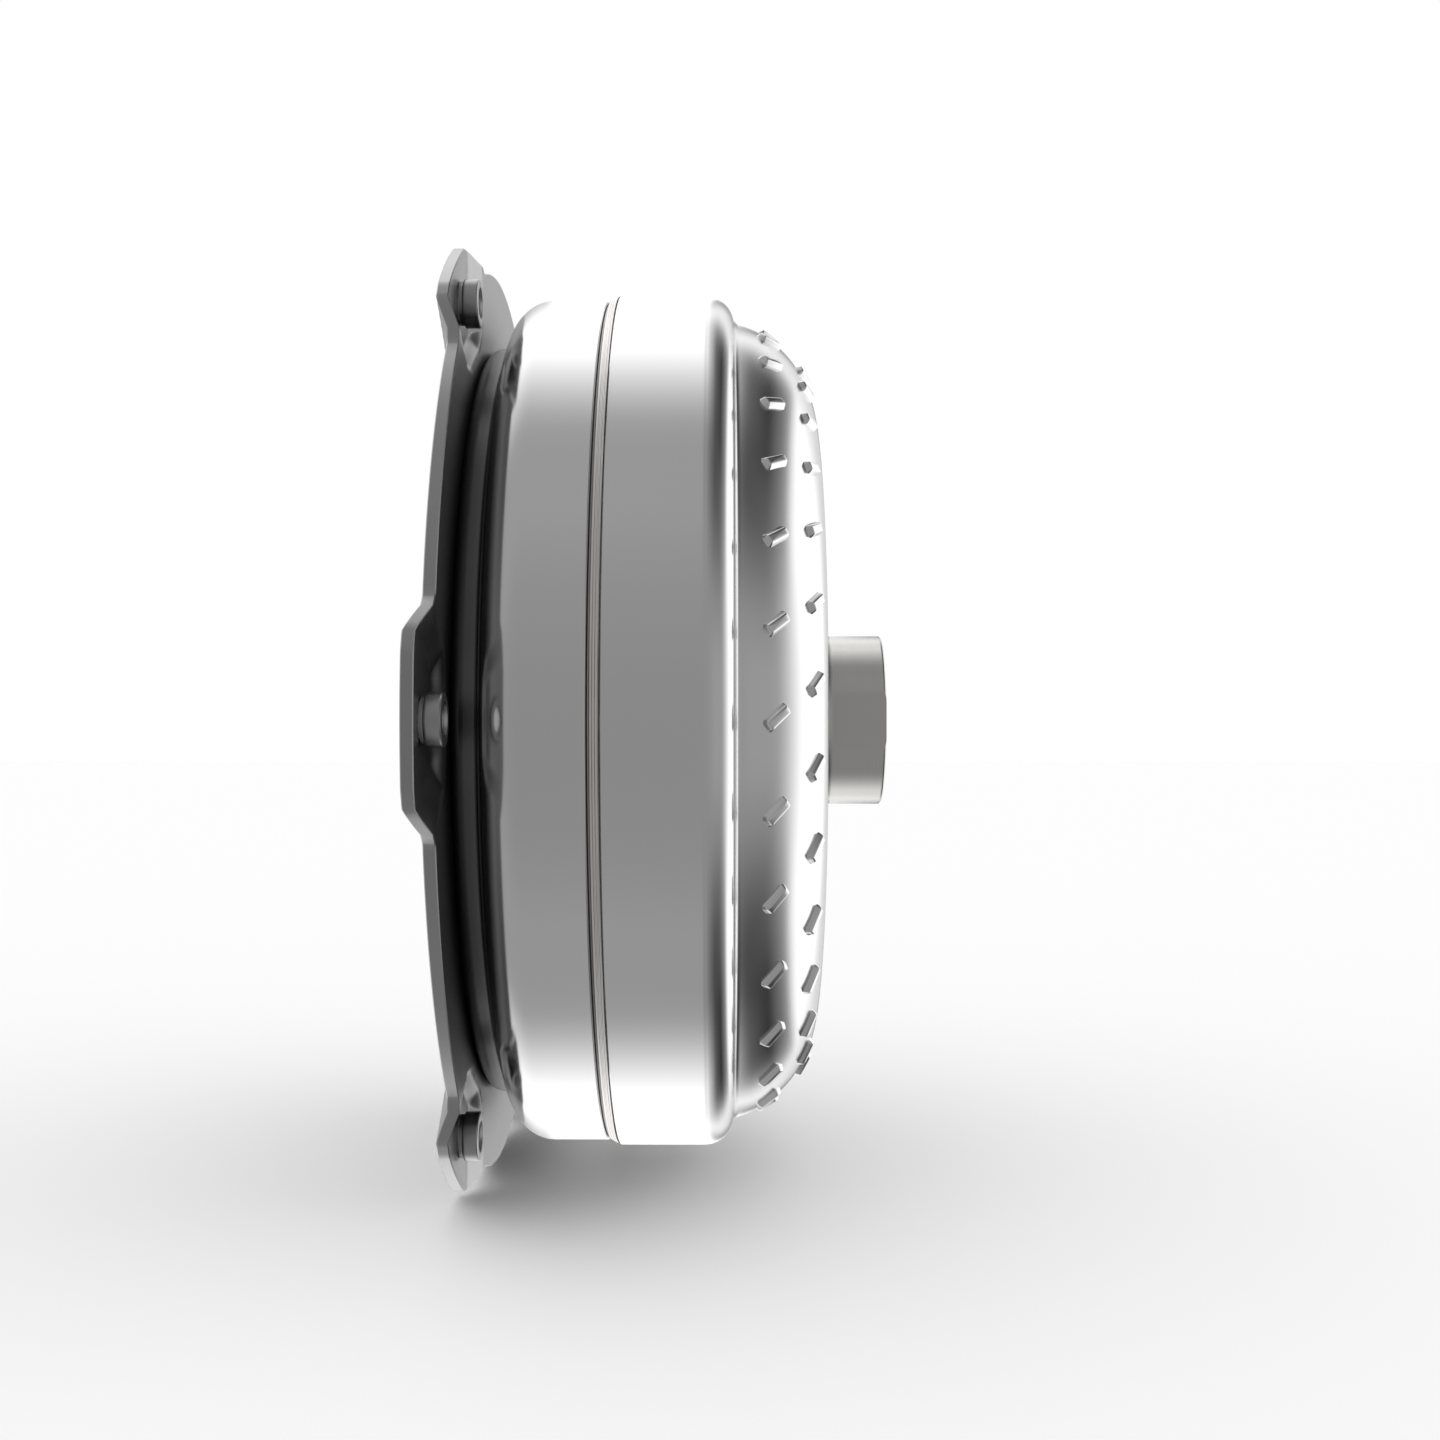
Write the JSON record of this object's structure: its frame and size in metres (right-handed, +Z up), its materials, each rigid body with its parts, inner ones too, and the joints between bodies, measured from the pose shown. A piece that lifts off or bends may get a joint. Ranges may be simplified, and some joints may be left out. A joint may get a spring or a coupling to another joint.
{
  "type": "torque converter",
  "caption": "Welded automatic-transmission torque converter: lugged mounting ring, drawn cover, vaned impeller shell and splined hub, with turbine, stator, damper and lock-up piston inside.",
  "frame": {"origin": "centre of the crank pilot's end face", "axes": "+X along the turning axis, from the engine side towards the transmission side; +Z up; -Y towards the picture's camera"},
  "size_m": [0.1518, 0.318, 0.298],
  "materials": {
    "satin_steel": "satin",
    "flange_steel": "satin",
    "weld_steel": "rippled satin",
    "turned_steel": "turned",
    "pressed_steel": "satin",
    "spring_steel": "satin",
    "cast_aluminium": "cast",
    "friction_paper": "matte",
    "seal_rubber": "matte",
    "washer_bronze": "satin"
  },
  "bodies": {
    "housing": {"front_cover": "satin_steel", "crank_pilot": "turned_steel", "mounting_ring": "flange_steel", "ring_weld_bead": "weld_steel", "lug_boss_1": "flange_steel", "lug_boss_2": "flange_steel", "lug_boss_3": "flange_steel", "lug_boss_4": "flange_steel", "lug_boss_5": "flange_steel", "lug_boss_6": "flange_steel", "seam_weld_bead": "weld_steel", "impeller_shell": "satin_steel", "pump_hub": "turned_steel", "hub_weld_bead": "weld_steel", "impeller_vane_ring": "pressed_steel", "cover_thrust_washer": "washer_bronze", "rear_bearing_race": "turned_steel"},
    "turbine": {"turbine_shell": "pressed_steel", "turbine_vane_ring": "pressed_steel", "turbine_hub": "turned_steel", "damper_driven_plate": "pressed_steel", "front_bearing_race": "turned_steel", "damper_spring_1": "spring_steel", "damper_spring_2": "spring_steel", "damper_spring_3": "spring_steel", "damper_spring_4": "spring_steel", "damper_spring_5": "spring_steel", "damper_spring_6": "spring_steel"},
    "damper": {"damper_carrier": "pressed_steel"},
    "lockup_piston": {"piston_plate": "pressed_steel", "friction_lining": "friction_paper", "piston_seal": "seal_rubber"},
    "stator_race": {"clutch_inner_race": "turned_steel"},
    "stator": {"stator_wheel": "cast_aluminium", "clutch_outer_race": "turned_steel", "clutch_roller_1": "turned_steel", "clutch_roller_2": "turned_steel", "clutch_roller_3": "turned_steel", "clutch_roller_4": "turned_steel", "clutch_roller_5": "turned_steel", "clutch_roller_6": "turned_steel", "clutch_roller_7": "turned_steel", "clutch_roller_8": "turned_steel", "clutch_front_plate": "washer_bronze", "clutch_rear_plate": "washer_bronze", "front_bearing_cage": "turned_steel", "rear_bearing_cage": "turned_steel"}
  },
  "joints": [
    {"name": "turbine_spin", "type": "hinge", "parent": "housing", "child": "turbine", "pos_m": [0, 0, 0], "axis": [1, 0, 0], "continuous": true},
    {"name": "damper_twist", "type": "hinge", "parent": "turbine", "child": "damper", "pos_m": [0, 0, 0], "axis": [1, 0, 0], "range_deg": [-8, 8], "deforming": ["damper_spring_1", "damper_spring_2", "damper_spring_3", "damper_spring_4", "damper_spring_5", "damper_spring_6"]},
    {"name": "lockup_slide", "type": "slide", "parent": "damper", "child": "lockup_piston", "axis": [-1, 0, 0], "range_m": [0, 0.0007]},
    {"name": "stator_race_spin", "type": "hinge", "parent": "housing", "child": "stator_race", "pos_m": [0, 0, 0], "axis": [1, 0, 0], "continuous": true},
    {"name": "stator_freewheel", "type": "hinge", "parent": "stator_race", "child": "stator", "pos_m": [0, 0, 0], "axis": [1, 0, 0], "continuous": true}
  ]
}
